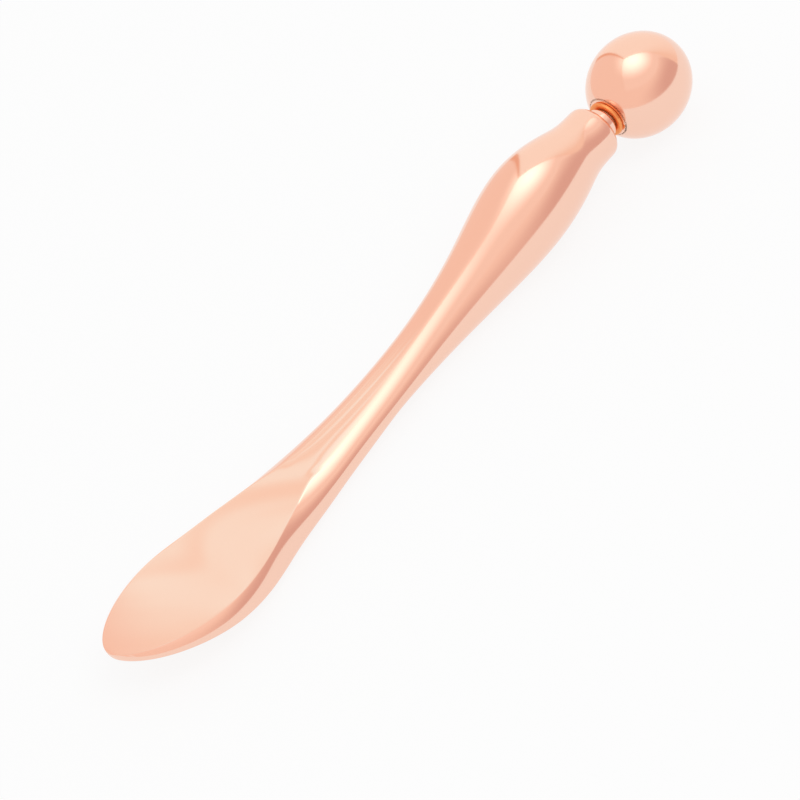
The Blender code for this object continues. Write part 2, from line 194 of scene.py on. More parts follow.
class HandleSettings(bpy.types.PropertyGroup):
    """Shape of the handle between the frame's stations."""
    oval_from: FloatProperty(name="Oval from", description="Where the belly starts to grow square",
                             default=-0.0593, unit="LENGTH")
    round_until: FloatProperty(name="Round until", description="Where the flat face of the blade starts",
                               default=-0.0706, unit="LENGTH")
    flat_from: FloatProperty(name="Flat from", description="Where the face of the blade has its whole width",
                             default=-0.0896, unit="LENGTH")
    face_cut_share: FloatProperty(name="Face cut", description="Share of the upper half that the face leaves",
                                  default=0.5)
    widest_share: FloatProperty(name="Widest place", description="Share of the way down from the face",
                                default=0.62)
    belly_power: FloatProperty(name="Belly squareness", description="2 is an ellipse, more is squarer",
                               default=3.4)
    rim_sharpness: FloatProperty(name="Blade rim", description="Sharpness of the rim of the face, 0 to 1",
                                 default=0.7, min=0, max=1)
    rim_bands: IntProperty(name="Rim bands", description="Steps in which the rim grows sharper", default=8)
    rim_steps: IntProperty(name="Rim steps", description="Faces from the widest place to the rim", default=5)
    face_steps: IntProperty(name="Face steps", description="Faces from the rim to the middle", default=7)
    levels: IntProperty(name="Subdivision", description="Levels of the applied subdivision", default=2)


class BallSettings(bpy.types.PropertyGroup):
    """Fineness of the ball, the ring and the bead."""
    segments: IntProperty(name="Segments", description="Faces round a turned piece", default=128)
    rings: IntProperty(name="Rings", description="Faces from pole to pole of the ball", default=96)
    seat_edge: FloatProperty(name="Seat edge", description="Rounding of the edge round the ball's mouth",
                             default=0.00012, unit="LENGTH")
    ring_rounding: FloatProperty(name="Ring rounding", description="Rounding of the copper ring's rim",
                                 default=0.0003, unit="LENGTH")
    bead_rounding: FloatProperty(name="Bead rounding", description="Rounding of the plated bead",
                                 default=0.00042, unit="LENGTH")


class FinishSettings(bpy.types.PropertyGroup):
    """Colours of the finishes."""
    plate: FloatVectorProperty(name="Rose plate", description="Colour of the rose gold plating",
                               default=(0.98, 0.635, 0.48, 1), size=4, subtype="COLOR")
    copper: FloatVectorProperty(name="Copper", description="Colour of the polished copper ring",
                                default=(1.0, 0.42, 0.13, 1), size=4, subtype="COLOR")
    bronze: FloatVectorProperty(name="Bronze", description="Colour of the turned bronze sleeve",
                                default=(0.60, 0.38, 0.18, 1), size=4, subtype="COLOR")
    steel: FloatVectorProperty(name="Steel", description="Colour of the turned steel stud",
                               default=(0.62, 0.62, 0.64, 1), size=4, subtype="COLOR")
    spring: FloatVectorProperty(name="Spring steel", description="Colour of the oiled spring steel clip",
                                default=(0.30, 0.30, 0.32, 1), size=4, subtype="COLOR")
    nylon: FloatVectorProperty(name="Nylon", description="Colour of the natural nylon washers",
                               default=(0.85, 0.84, 0.80, 1), size=4, subtype="COLOR")


class StageSettings(bpy.types.PropertyGroup):
    """Light, floor and camera."""
    world: FloatProperty(name="Surround", description="Light of the plain surround on the floor", default=0.8)
    key: FloatProperty(name="Key lamp", description="Strength of the soft lamp, in watts", default=1.2)
    tent_height: FloatProperty(name="Tent height", description="Height of the light tent's ceiling",
                               default=0.25, unit="LENGTH")
    tent_corner: FloatVectorProperty(name="Tent corner", description="Foot of the tent's back corner",
                                     default=(0.075, 0.101, 0), subtype="TRANSLATION")
    glow: FloatProperty(name="Glow", description="Brightness of the lit patch of the ceiling", default=1.85)
    lens: FloatProperty(name="Lens", description="Focal length of the camera, in millimetres", default=85)


def deselect():
    """Leave nothing selected."""
    bpy.ops.object.select_all(action="DESELECT")


def start_edit(piece):
    """Open a piece for editing, with nothing else selected."""
    deselect()
    piece.select_set(True)
    bpy.context.view_layer.objects.active = piece
    bpy.ops.object.mode_set(mode="EDIT")
    bpy.ops.mesh.select_all(action="DESELECT")


def end_edit():
    """Leave edit mode."""
    bpy.ops.object.mode_set(mode="OBJECT")


def edit_mesh():
    """The open piece's mesh, ready to read and select in."""
    bm = bmesh.from_edit_mesh(bpy.context.object.data)
    bm.verts.ensure_lookup_table()
    return bm


def pick(kind, test):
    """Select the open piece's faces, edges or verts that pass a test, and nothing else."""
    bpy.ops.mesh.select_all(action="DESELECT")
    bpy.ops.mesh.select_mode(type={"faces": "FACE", "edges": "EDGE", "verts": "VERT"}[kind])
    bm = edit_mesh()
    for item in getattr(bm, kind):
        if test(item):
            item.select_set(True)
    bm.select_flush_mode()
    bmesh.update_edit_mesh(bpy.context.object.data)


def seal_and_smooth(piece):
    """Merge doubles, turn the faces outwards and shade the round surfaces smooth."""
    start_edit(piece)
    bpy.ops.mesh.select_all(action="SELECT")
    bpy.ops.mesh.remove_doubles(threshold=MERGE)
    bpy.ops.mesh.normals_make_consistent(inside=False)
    end_edit()
    bpy.ops.object.shade_smooth_by_angle(angle=SMOOTH_ANGLE)


def lay_in_place(piece):
    """Turn a piece from the wand's frame to where it lies, and keep the place in its mesh."""
    deselect()
    piece.select_set(True)
    bpy.context.view_layer.objects.active = piece
    piece.matrix_world = WAND @ piece.matrix_world
    bpy.ops.object.transform_apply(location=True, rotation=True, scale=True)


def apply_modifiers(piece):
    """Apply every modifier of a piece."""
    bpy.context.view_layer.objects.active = piece
    for modifier in list(piece.modifiers):
        bpy.ops.object.modifier_apply(modifier=modifier.name)


def named(piece_name):
    """Give the newest primitive its name."""
    piece = bpy.context.object
    piece.name = piece_name
    piece.data.name = piece_name
    return piece


def rounded(share):
    """Smooth step from 0 to 1."""
    share = min(max(share, 0), 1)
    return share * share * (3 - 2 * share)


def mixed(first, second, share):
    """Value at a share of the way from the first to the second."""
    return first + (second - first) * share


def circle_ring(place, radius, count):
    """Points of a round ring about the stud's axis, in step with a ring of the handle."""
    angles = [math.tau * step / count for step in range(count)]
    return [(place, radius * math.sin(angle), radius * math.cos(angle)) for angle in angles]


def extrude_rings(rings):
    """Turn the open circle into the first ring, and extrude it along the others."""
    bm = edit_mesh()
    step_of = bm.verts.layers.int.new("step")
    for index, vert in enumerate(bm.verts):
        vert[step_of] = index
    bmesh.update_edit_mesh(bpy.context.object.data)
    bpy.ops.mesh.select_all(action="SELECT")
    for number, ring in enumerate(rings):
        if number:
            bpy.ops.mesh.extrude_region_move()
        bm = edit_mesh()
        step_of = bm.verts.layers.int["step"]
        for vert in bm.verts:
            if vert.select:
                vert.co = ring[vert[step_of]]
        bmesh.update_edit_mesh(bpy.context.object.data)


def close_end(point):
    """Draw the selected ring together to one point."""
    bpy.ops.mesh.extrude_region_move()
    bpy.ops.mesh.merge(type="CENTER")
    bm = edit_mesh()
    for vert in bm.verts:
        if vert.select:
            vert.co = point
    bmesh.update_edit_mesh(bpy.context.object.data)


def handle_ring(station, settings):
    """Points round one station of the handle, from the top round towards +Y."""
    place, half_width, crown, belly = station
    flat = rounded((settings.round_until - place) / (settings.round_until - settings.flat_from))
    square = rounded((settings.oval_from - place) / (settings.oval_from - settings.round_until))
    cut = mixed(1, settings.face_cut_share, flat)
    widest = mixed(crown, belly, mixed(MIDDLE_SHARE, settings.widest_share, flat))
    power = mixed(ELLIPSE_POWER, settings.belly_power, square)
    quarter = settings.rim_steps + settings.face_steps
    side = []
    for step in range(quarter + 1):
        angle = side_angle(step, math.asin(cut), rounded(flat / SPREAD_SHARE), settings)
        rise = min(math.sin(angle) / cut, 1)
        side.append((half_width * math.cos(angle), widest + (crown - widest) * rise))
    under = []
    for step in range(1, 2 * quarter):
        angle = math.pi * step / (2 * quarter)
        reach = (abs(math.cos(angle)) ** power + abs(math.sin(angle)) ** power) ** (-1 / power)
        drop = (widest - belly) * reach * math.sin(angle)
        under.append((half_width * reach * math.cos(angle), widest - drop))
    back = [(-across, height) for across, height in side[:0:-1]]
    return [(place, across, height) for across, height in side + under + back]


def side_angle(step, rim, spread, settings):
    """Angle above the widest place of a step from the top, with one step on the rim of the face."""
    quarter = settings.rim_steps + settings.face_steps
    even = mixed(math.pi / 2, 0, step / quarter)
    if step <= settings.face_steps:
        bunched = mixed(math.pi / 2, rim, step / settings.face_steps)
    else:
        bunched = mixed(rim, 0, (step - settings.face_steps) / settings.rim_steps)
    return mixed(even, bunched, spread)


def crease_rims(count, settings):
    """Sharpen both rims of the blade's face, from nothing at the root to the whole on the face."""
    rims = {settings.face_steps, count - settings.face_steps}
    bpy.ops.mesh.select_mode(type="EDGE")
    for band in range(settings.rim_bands):
        share = (band + 1) / settings.rim_bands
        start = mixed(settings.round_until, settings.flat_from, band / settings.rim_bands)
        end = mixed(settings.round_until, settings.flat_from, share) if share < 1 else HANDLE_TIP[0]
        bpy.ops.mesh.select_all(action="DESELECT")
        bm = edit_mesh()
        step_of = bm.verts.layers.int["step"]
        for edge in bm.edges:
            steps = {vert[step_of] for vert in edge.verts}
            middle = sum(vert.co.x for vert in edge.verts) / 2
            if len(steps) == 1 and steps < rims and end <= middle < start:
                edge.select_set(True)
        bmesh.update_edit_mesh(bpy.context.object.data)
        bpy.ops.transform.edge_crease(value=settings.rim_sharpness * rounded(share))


class WAND_OT_handle(bpy.types.Operator):
    """Handle casting: shoulder, grip, waist and blade in one skin, with the stud's hole in front"""
    bl_idname = "wand.handle"
    bl_label = "Handle"

    def execute(self, context):
        settings = context.scene.wand_handle
        rings = [handle_ring(station, settings) for station in handle_stations()]
        count = len(rings[0])
        hole = STUD_RADIUS + HOLE_CLEARANCE / 2
        deselect()
        bpy.ops.mesh.primitive_circle_add(vertices=count, radius=hole, location=(0, 0, 0))
        piece = named("handle_casting")
        start_edit(piece)
        inner = [circle_ring(STUD_END, hole, count), circle_ring(HANDLE_FRONT, hole, count)]
        extrude_rings(inner + rings)
        close_end(HANDLE_TIP)
        pick("verts", lambda vert: abs(vert.co.x - STUD_END) < SAME_PLACE)
        bpy.ops.mesh.edge_face_add()
        pick("edges", lambda edge: all(abs(vert.co.x - HANDLE_FRONT) < SAME_PLACE
                                       and vert.co.yz.length < hole + SAME_PLACE for vert in edge.verts))
        bpy.ops.transform.edge_crease(value=1)
        crease_rims(count, settings)
        end_edit()
        seal_and_smooth(piece)
        smooth = piece.modifiers.new("smooth", "SUBSURF")
        smooth.levels = settings.levels
        smooth.render_levels = settings.levels
        apply_modifiers(piece)
        lay_in_place(piece)
        piece.data.materials.append(plate_material(context))
        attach(piece, "handle")
        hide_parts("spatula_handle")
        return {"FINISHED"}


class WAND_OT_ball(bpy.types.Operator):
    """Ball: a long sphere cut flat at its mouth and drilled for the bearing"""
    bl_idname = "wand.ball"
    bl_label = "Ball"

    def execute(self, context):
        settings = context.scene.wand_ball
        points = wand_points("ball")
        mouth = points[:, 0].min()
        far = points[:, 0].max()
        across = radii(points).max()
        at_mouth = points[points[:, 0] < mouth + SAME_PLACE]
        seat, bore = radii(at_mouth).max(), radii(at_mouth).min()
        on_bore = points[numpy.abs(radii(points) - bore) < SAME_PLACE]
        depth = on_bore[:, 0].max() - mouth
        deselect()
        bpy.ops.mesh.primitive_uv_sphere_add(segments=settings.segments, ring_count=settings.rings,
                                             radius=1, location=(0, 0, 0))
        piece = named("ball_shell")
        piece.data.transform(Matrix.Diagonal((far, across, across, 1)) @ Matrix.Rotation(math.pi / 2, 4, "Y"))
        start_edit(piece)
        bpy.ops.mesh.select_all(action="SELECT")
        bpy.ops.mesh.bisect(plane_co=(mouth, 0, 0), plane_no=(-1, 0, 0), use_fill=True, clear_outer=True)
        pick("faces", lambda face: face.normal.x < -FACING and len(face.verts) > QUAD)
        bpy.ops.mesh.inset(thickness=seat - bore, depth=0)
        bpy.ops.mesh.extrude_region_move(TRANSFORM_OT_translate={"value": (depth, 0, 0)})
        pick("edges", lambda edge: all(abs(vert.co.x - mouth) < SAME_PLACE for vert in edge.verts)
             and len(set(round(vert.co.yz.length / SAME_PLACE) for vert in edge.verts)) == 1)
        bpy.ops.mesh.bevel(offset=settings.seat_edge, segments=SEAT_SEGMENTS, affect="EDGES")
        end_edit()
        seal_and_smooth(piece)
        lay_in_place(piece)
        piece.data.materials.append(plate_material(context))
        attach(piece, "roller")
        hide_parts("ball")
        return {"FINISHED"}


def round_disc(name, node, rounding, segments):
    """A disc on the stud's axis with a node's outer size, a rounded rim and the node's bore."""
    points = wand_points(node)
    outside = radii(points).max()
    rim = points[radii(points) > outside - SAME_PLACE]
    start, end = points[:, 0].min(), rim[:, 0].max() + (rim[:, 0].min() - points[:, 0].min())
    bore = radii(points).min()
    deselect()
    bpy.ops.mesh.primitive_cylinder_add(vertices=segments, radius=outside, depth=end - start,
                                        location=((start + end) / 2, 0, 0), rotation=(0, math.pi / 2, 0))
    piece = named(name)
    bpy.ops.object.transform_apply(location=True, rotation=True, scale=True)
    start_edit(piece)
    pick("faces", lambda face: len(face.verts) > QUAD)
    bpy.ops.mesh.inset(thickness=outside - bore, use_individual=True)
    bpy.ops.mesh.bridge_edge_loops()
    pick("edges", lambda edge: all(vert.co.yz.length > outside - SAME_PLACE for vert in edge.verts)
         and abs(edge.verts[0].co.x - edge.verts[1].co.x) < SAME_PLACE)
    bpy.ops.mesh.bevel(offset=rounding, segments=RIM_SEGMENTS, affect="EDGES")
    end_edit()
    seal_and_smooth(piece)
    lay_in_place(piece)
    return piece


class WAND_OT_ring(bpy.types.Operator):
    """Copper ring in the mouth of the ball"""
    bl_idname = "wand.ring"
    bl_label = "Copper ring"

    def execute(self, context):
        settings = context.scene.wand_ball
        piece = round_disc("copper_ring", "mouth_ring", settings.ring_rounding, settings.segments)
        piece.data.materials.append(copper_material(context))
        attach(piece, "roller")
        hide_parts("mouth_ring")
        return {"FINISHED"}


class WAND_OT_bead(bpy.types.Operator):
    """Plated bead between the handle and the copper ring"""
    bl_idname = "wand.bead"
    bl_label = "Neck bead"

    def execute(self, context):
        settings = context.scene.wand_ball
        piece = round_disc("neck_bead", "neck_collar", settings.bead_rounding, settings.segments)
        piece.data.materials.append(plate_material(context))
        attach(piece, "handle")
        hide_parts("neck_collar")
        return {"FINISHED"}


class WAND_OT_bearing(bpy.types.Operator):
    """Finishes of the stud, sleeve, washers and clip inside the ball"""
    bl_idname = "wand.bearing"
    bl_label = "Bearing finishes"

    def execute(self, context):
        colours = context.scene.wand_finish
        finishes = {
            "axle_stud": turned_material("turned_steel", colours.steel, STEEL_ROUGHNESS, STEEL_PITCH),
            "bearing_sleeve": turned_material("turned_bronze", colours.bronze, BRONZE_ROUGHNESS, BRONZE_PITCH),
            "retaining_clip": turned_material("spring_steel", colours.spring, SPRING_ROUGHNESS, SPRING_PITCH),
            "outer_thrust_washer": nylon_material(context),
            "inner_thrust_washer": nylon_material(context),
        }
        for node, material in finishes.items():
            mesh = frame["nodes"][node].data
            mesh.materials.clear()
            mesh.materials.append(material)
        return {"FINISHED"}


def new_group(name, inputs, outputs):
    """A shader node group with its inputs and outputs, and the nodes that stand for them."""
    tree = bpy.data.node_groups.new(name, "ShaderNodeTree")
    for label, default in inputs.items():
        socket = tree.interface.new_socket(label, in_out="INPUT", socket_type="NodeSocketFloat")
        socket.default_value = default
    for label, kind in outputs.items():
        tree.interface.new_socket(label, in_out="OUTPUT", socket_type=kind)
    return tree, tree.nodes.new("NodeGroupInput"), tree.nodes.new("NodeGroupOutput")


def node(tree, kind, **values):
    """A node with its settings and its sockets' values."""
    made = tree.nodes.new(kind)
    for name, value in values.items():
        if name in made.inputs:
            made.inputs[name].default_value = value
        else:
            setattr(made, name, value)
    return made


def polish_group():
    """Soft waves that hand polishing leaves along the wand, as a height, and faint patches of haze."""
    if "polish" in bpy.data.node_groups:
        return bpy.data.node_groups["polish"]
    tree, given, made = new_group("polish", {"Wave Length": PLATE_WAVE, "Stretch": WAVE_STRETCH},
                                  {"Height": "NodeSocketFloat", "Haze": "NodeSocketFloat"})
    place = node(tree, "ShaderNodeTexCoord")
    stretch = node(tree, "ShaderNodeCombineXYZ", Y=1.0, Z=1.0)
    share = node(tree, "ShaderNodeMath", operation="DIVIDE")
    share.inputs[0].default_value = 1
    scaled = node(tree, "ShaderNodeVectorMath", operation="MULTIPLY")
    size = node(tree, "ShaderNodeMath", operation="DIVIDE")
    size.inputs[0].default_value = 1
    waves = node(tree, "ShaderNodeTexNoise", Detail=1.0, Roughness=0.4)
    haze = node(tree, "ShaderNodeTexNoise", Scale=260.0, Detail=4.0)
    links = tree.links
    links.new(given.outputs["Stretch"], share.inputs[1])
    links.new(share.outputs[0], stretch.inputs["X"])
    links.new(place.outputs["Object"], scaled.inputs[0])
    links.new(stretch.outputs[0], scaled.inputs[1])
    links.new(given.outputs["Wave Length"], size.inputs[1])
    links.new(size.outputs[0], waves.inputs["Scale"])
    links.new(scaled.outputs[0], waves.inputs["Vector"])
    links.new(place.outputs["Object"], haze.inputs["Vector"])
    links.new(waves.outputs["Fac"], made.inputs["Height"])
    links.new(haze.outputs["Fac"], made.inputs["Haze"])
    return tree


def turning_group():
    """Fine grooves that a lathe tool leaves round the stud's axis."""
    if "turning" in bpy.data.node_groups:
        return bpy.data.node_groups["turning"]
    tree, given, made = new_group("turning", {"Pitch": STEEL_PITCH}, {"Height": "NodeSocketFloat"})
    place = node(tree, "ShaderNodeTexCoord")
    along = node(tree, "ShaderNodeVectorMath", operation="DOT_PRODUCT")
    along.inputs[1].default_value = WAND_X
    turns = node(tree, "ShaderNodeMath", operation="DIVIDE")
    phase = node(tree, "ShaderNodeMath", operation="MULTIPLY")
    phase.inputs[1].default_value = math.tau
    wave = node(tree, "ShaderNodeMath", operation="SINE")
    links = tree.links
    links.new(place.outputs["Object"], along.inputs[0])
    links.new(along.outputs["Value"], turns.inputs[0])
    links.new(given.outputs["Pitch"], turns.inputs[1])
    links.new(turns.outputs[0], phase.inputs[0])
    links.new(phase.outputs[0], wave.inputs[0])
    links.new(wave.outputs[0], made.inputs["Height"])
    return tree


def grouped(tree, group, **values):
    """A node that uses a node group, with its own values."""
    made = tree.nodes.new("ShaderNodeGroup")
    made.node_tree = group
    for name, value in values.items():
        made.inputs[name.replace("_", " ")].default_value = value
    return made


def new_material(name, colour, roughness, metallic):
    """A material with its shader's plain values, and its tree and shader."""
    material = bpy.data.materials.new(name)
    material.use_nodes = True
    tree = material.node_tree
    shader = tree.nodes["Principled BSDF"]
    shader.inputs["Base Color"].default_value = colour
    shader.inputs["Roughness"].default_value = roughness
    shader.inputs["Metallic"].default_value = metallic
    return material, tree, shader


def polished_material(name, colour, deeper, smoothest, roughest, wave_length, wave_height):
    """Polished plating: faint waves, faint haze and a slightly deeper tone in patches."""
    if name in bpy.data.materials:
        return bpy.data.materials[name]
    material, tree, shader = new_material(name, colour, smoothest, 1.0)
    polish = grouped(tree, polish_group(), Wave_Length=wave_length, Stretch=WAVE_STRETCH)
    bump = node(tree, "ShaderNodeBump", Strength=1.0, Distance=wave_height)
    haze = node(tree, "ShaderNodeMapRange")
    haze.inputs["From Min"].default_value = HAZE_LOW
    haze.inputs["From Max"].default_value = HAZE_HIGH
    haze.inputs["To Min"].default_value = smoothest
    haze.inputs["To Max"].default_value = roughest
    tone = node(tree, "ShaderNodeMix", data_type="RGBA")
    tone.inputs[6].default_value = colour
    tone.inputs[7].default_value = [part * share for part, share in zip(colour, deeper)]
    links = tree.links
    links.new(polish.outputs["Height"], bump.inputs["Height"])
    links.new(bump.outputs["Normal"], shader.inputs["Normal"])
    links.new(polish.outputs["Haze"], haze.inputs["Value"])
    links.new(haze.outputs["Result"], shader.inputs["Roughness"])
    links.new(polish.outputs["Haze"], tone.inputs[0])
    links.new(tone.outputs[2], shader.inputs["Base Color"])
    return material


def plate_material(context):
    """Rose gold plating on the handle, the ball and the bead."""
    return polished_material("rose_plate", context.scene.wand_finish.plate, PLATE_PATCHES,
                             *PLATE_ROUGHNESS, PLATE_WAVE, PLATE_WAVE_HEIGHT)


def copper_material(context):
    """Polished copper of the ring."""
    return polished_material("ring_copper", context.scene.wand_finish.copper, COPPER_PATCHES,
                             *COPPER_ROUGHNESS, COPPER_WAVE, COPPER_WAVE_HEIGHT)


def turned_material(name, colour, roughness, pitch):
    """Metal turned on a lathe."""
    material, tree, shader = new_material(name, colour, roughness, 1.0)
    grooves = grouped(tree, turning_group(), Pitch=pitch)
    bump = node(tree, "ShaderNodeBump", Strength=GROOVE_STRENGTH, Distance=GROOVE_DEPTH)
    tree.links.new(grooves.outputs["Height"], bump.inputs["Height"])
    tree.links.new(bump.outputs["Normal"], shader.inputs["Normal"])
    return material


def nylon_material(context):
    """Natural nylon, faintly mottled."""
    if "washer_nylon" in bpy.data.materials:
        return bpy.data.materials["washer_nylon"]
    material, tree, shader = new_material("washer_nylon", context.scene.wand_finish.nylon,
                                          NYLON_ROUGHNESS, 0.0)
    place = node(tree, "ShaderNodeTexCoord")
    grain = node(tree, "ShaderNodeTexNoise", Scale=4000.0, Detail=3.0)
    bump = node(tree, "ShaderNodeBump", Strength=NYLON_GRAIN_STRENGTH, Distance=NYLON_GRAIN_DEPTH)
    tree.links.new(place.outputs["Object"], grain.inputs["Vector"])
    tree.links.new(grain.outputs["Fac"], bump.inputs["Height"])
    tree.links.new(bump.outputs["Normal"], shader.inputs["Normal"])
    return material


def seen_in_mirrors(tree):
    """1 for the rays that the camera, a mirror or glass sends out, and 0 for the rest."""
    path = node(tree, "ShaderNodeLightPath")
    first = node(tree, "ShaderNodeMath", operation="MAXIMUM")
    second = node(tree, "ShaderNodeMath", operation="MAXIMUM")
    tree.links.new(path.outputs["Is Camera Ray"], first.inputs[0])
    tree.links.new(path.outputs["Is Glossy Ray"], first.inputs[1])
    tree.links.new(first.outputs[0], second.inputs[0])
    tree.links.new(path.outputs["Is Transmission Ray"], second.inputs[1])
    return second.outputs[0]


def direction(azimuth, elevation):
    """Unit vector; azimuth 0 looks towards -Y, 90 towards +X."""
    turn, rise = math.radians(azimuth), math.radians(elevation)
    return Vector((math.sin(turn) * math.cos(rise), -math.cos(turn) * math.cos(rise), math.sin(rise)))


def panel(name, corners, material):
    """A flat stage panel that only mirrors see."""
    mesh = bpy.data.meshes.new(name)
    mesh.from_pydata([tuple(corner) for corner in corners], [], [tuple(range(len(corners)))])
    mesh.materials.append(material)
    piece = bpy.data.objects.new(name, mesh)
    bpy.context.scene.collection.objects.link(piece)
    piece.visible_camera = False
    piece.visible_diffuse = False
    piece.visible_shadow = False
    return piece


def glow_material(name, low_colour, low, high_colour, high, centre, inner, outer, squeeze=(1, 1, 1)):
    """Light cloth whose brightness falls off round a centre, less steeply where it is squeezed."""
    material = bpy.data.materials.new(name)
    material.use_nodes = True
    tree = material.node_tree
    tree.nodes.clear()
    place = node(tree, "ShaderNodeTexCoord")
    distance = node(tree, "ShaderNodeVectorMath", operation="DISTANCE")
    distance.inputs[1].default_value = [part * share for part, share in zip(centre, squeeze)]
    squeezed = node(tree, "ShaderNodeVectorMath", operation="MULTIPLY")
    squeezed.inputs[1].default_value = squeeze
    fall = node(tree, "ShaderNodeMapRange", interpolation_type="SMOOTHSTEP")
    fall.inputs["From Min"].default_value = inner
    fall.inputs["From Max"].default_value = outer
    fall.inputs["To Min"].default_value = 1
    fall.inputs["To Max"].default_value = 0
    colour = node(tree, "ShaderNodeMix", data_type="RGBA")
    colour.inputs[6].default_value = [part * low for part in low_colour] + [1]
    colour.inputs[7].default_value = [part * high for part in high_colour] + [1]
    light = node(tree, "ShaderNodeEmission", Strength=1.0)
    output = node(tree, "ShaderNodeOutputMaterial")
    links = tree.links
    links.new(place.outputs["Object"], squeezed.inputs[0])
    links.new(squeezed.outputs[0], distance.inputs[0])
    links.new(distance.outputs["Value"], fall.inputs["Value"])
    links.new(fall.outputs["Result"], colour.inputs[0])
    links.new(colour.outputs[2], light.inputs["Color"])
    links.new(light.outputs[0], output.inputs["Surface"])
    return material


def card_material(name, plain, lit, centre, inner, outer, low, high):
    """Creased card lit from above, seen from its front alone and fading out round its centre."""
    material = bpy.data.materials.new(name)
    material.use_nodes = True
    tree = material.node_tree
    tree.nodes.clear()
    place = node(tree, "ShaderNodeTexCoord")
    stretched = node(tree, "ShaderNodeVectorMath", operation="MULTIPLY")
    stretched.inputs[1].default_value = CARD_CREASES
    creases = node(tree, "ShaderNodeTexNoise", Scale=1.0, Detail=2.0)
    split = node(tree, "ShaderNodeSeparateXYZ")
    rise = node(tree, "ShaderNodeMapRange")
    rise.inputs["From Min"].default_value = low
    rise.inputs["From Max"].default_value = high
    rise.inputs["To Min"].default_value = -CREASE_DEPTH
    rise.inputs["To Max"].default_value = CARD_RISE - CREASE_DEPTH
    share = node(tree, "ShaderNodeMath", operation="MULTIPLY_ADD", use_clamp=True)
    share.inputs[1].default_value = 2 * CREASE_DEPTH
    colour = node(tree, "ShaderNodeMix", data_type="RGBA")
    colour.inputs[6].default_value = (*plain, 1)
    colour.inputs[7].default_value = (*lit, 1)
    light = node(tree, "ShaderNodeEmission", Strength=1.0)
    distance = node(tree, "ShaderNodeVectorMath", operation="DISTANCE")
    distance.inputs[1].default_value = centre
    fade = node(tree, "ShaderNodeMapRange", interpolation_type="SMOOTHSTEP")
    fade.inputs["From Min"].default_value = inner
    fade.inputs["From Max"].default_value = outer
    fade.inputs["To Min"].default_value = 1
    fade.inputs["To Max"].default_value = 0
    side = node(tree, "ShaderNodeNewGeometry")
    front = node(tree, "ShaderNodeMath", operation="SUBTRACT")
    front.inputs[0].default_value = 1
    shown = node(tree, "ShaderNodeMath", operation="MULTIPLY")
    clear = node(tree, "ShaderNodeBsdfTransparent")
    mix = node(tree, "ShaderNodeMixShader")
    output = node(tree, "ShaderNodeOutputMaterial")
    links = tree.links
    links.new(place.outputs["Object"], stretched.inputs[0])
    links.new(stretched.outputs[0], creases.inputs["Vector"])
    links.new(place.outputs["Object"], split.inputs[0])
    links.new(split.outputs["Z"], rise.inputs["Value"])
    links.new(creases.outputs["Fac"], share.inputs[0])
    links.new(rise.outputs["Result"], share.inputs[2])
    links.new(share.outputs[0], colour.inputs[0])
    links.new(colour.outputs[2], light.inputs["Color"])
    links.new(place.outputs["Object"], distance.inputs[0])
    links.new(distance.outputs["Value"], fade.inputs["Value"])
    links.new(side.outputs["Backfacing"], front.inputs[1])
    links.new(fade.outputs["Result"], shown.inputs[0])
    links.new(front.outputs[0], shown.inputs[1])
    links.new(shown.outputs[0], mix.inputs[0])
    links.new(clear.outputs[0], mix.inputs[1])
    links.new(light.outputs[0], mix.inputs[2])
    links.new(mix.outputs[0], output.inputs["Surface"])
    return material


def make_card():
    """Creased white card behind the blade, which lights its face; only mirrors before it see it."""
    facing = CARD_FACING.normalized()
    across = facing.cross(Vector((0, 0, 1))).normalized()
    up = facing.cross(across).normalized() * CARD_HALF_HEIGHT
    if up.z < 0:
        up = -up
    side = across * CARD_HALF_WIDTH
    centre = CARD_CENTRE
    corners = [centre - side - up, centre + side - up, centre + side + up, centre - side + up]
    if (corners[1] - corners[0]).cross(corners[2] - corners[1]).dot(facing) < 0:
        corners.reverse()
    white = card_material("card_white", CARD_PLAIN, CARD_LIT, centre, CARD_INNER, CARD_OUTER,
                          centre.z - up.z, centre.z + up.z)
    panel("card", corners, white)


def make_world(settings):
    """White surround for camera and mirrors, and a plain level of light for the rest."""
    world = bpy.data.worlds.new("surround")
    bpy.context.scene.world = world
    world.use_nodes = True
    tree = world.node_tree
    tree.nodes.clear()
    seen = node(tree, "ShaderNodeBackground", Color=(1, 1, 1, 1), Strength=1.0)
    light = node(tree, "ShaderNodeBackground", Color=(1, 1, 1, 1), Strength=settings.world)
    mix = node(tree, "ShaderNodeMixShader")
    output = node(tree, "ShaderNodeOutputWorld")
    tree.links.new(seen_in_mirrors(tree), mix.inputs[0])
    tree.links.new(light.outputs[0], mix.inputs[1])
    tree.links.new(seen.outputs[0], mix.inputs[2])
    tree.links.new(mix.outputs[0], output.inputs["Surface"])


def make_floor():
    """Plain white floor that keeps a soft shadow."""
    deselect()
    bpy.ops.mesh.primitive_plane_add(size=FLOOR_SIZE, location=(0, 0, 0))
    floor = named("floor")
    material = bpy.data.materials.new("floor_white")
    material.use_nodes = True
    tree = material.node_tree
    tree.nodes.clear()
    paint = node(tree, "ShaderNodeBsdfDiffuse", Color=FLOOR_PAINT)
    light = node(tree, "ShaderNodeEmission", Strength=1.0)
    share = node(tree, "ShaderNodeMath", operation="MULTIPLY")
    share.inputs[1].default_value = FLOOR_WHITE_SHARE
    mix = node(tree, "ShaderNodeMixShader")
    output = node(tree, "ShaderNodeOutputMaterial")
    tree.links.new(seen_in_mirrors(tree), share.inputs[0])
    tree.links.new(share.outputs[0], mix.inputs[0])
    tree.links.new(paint.outputs[0], mix.inputs[1])
    tree.links.new(light.outputs[0], mix.inputs[2])
    tree.links.new(mix.outputs[0], output.inputs["Surface"])
    floor.data.materials.append(material)


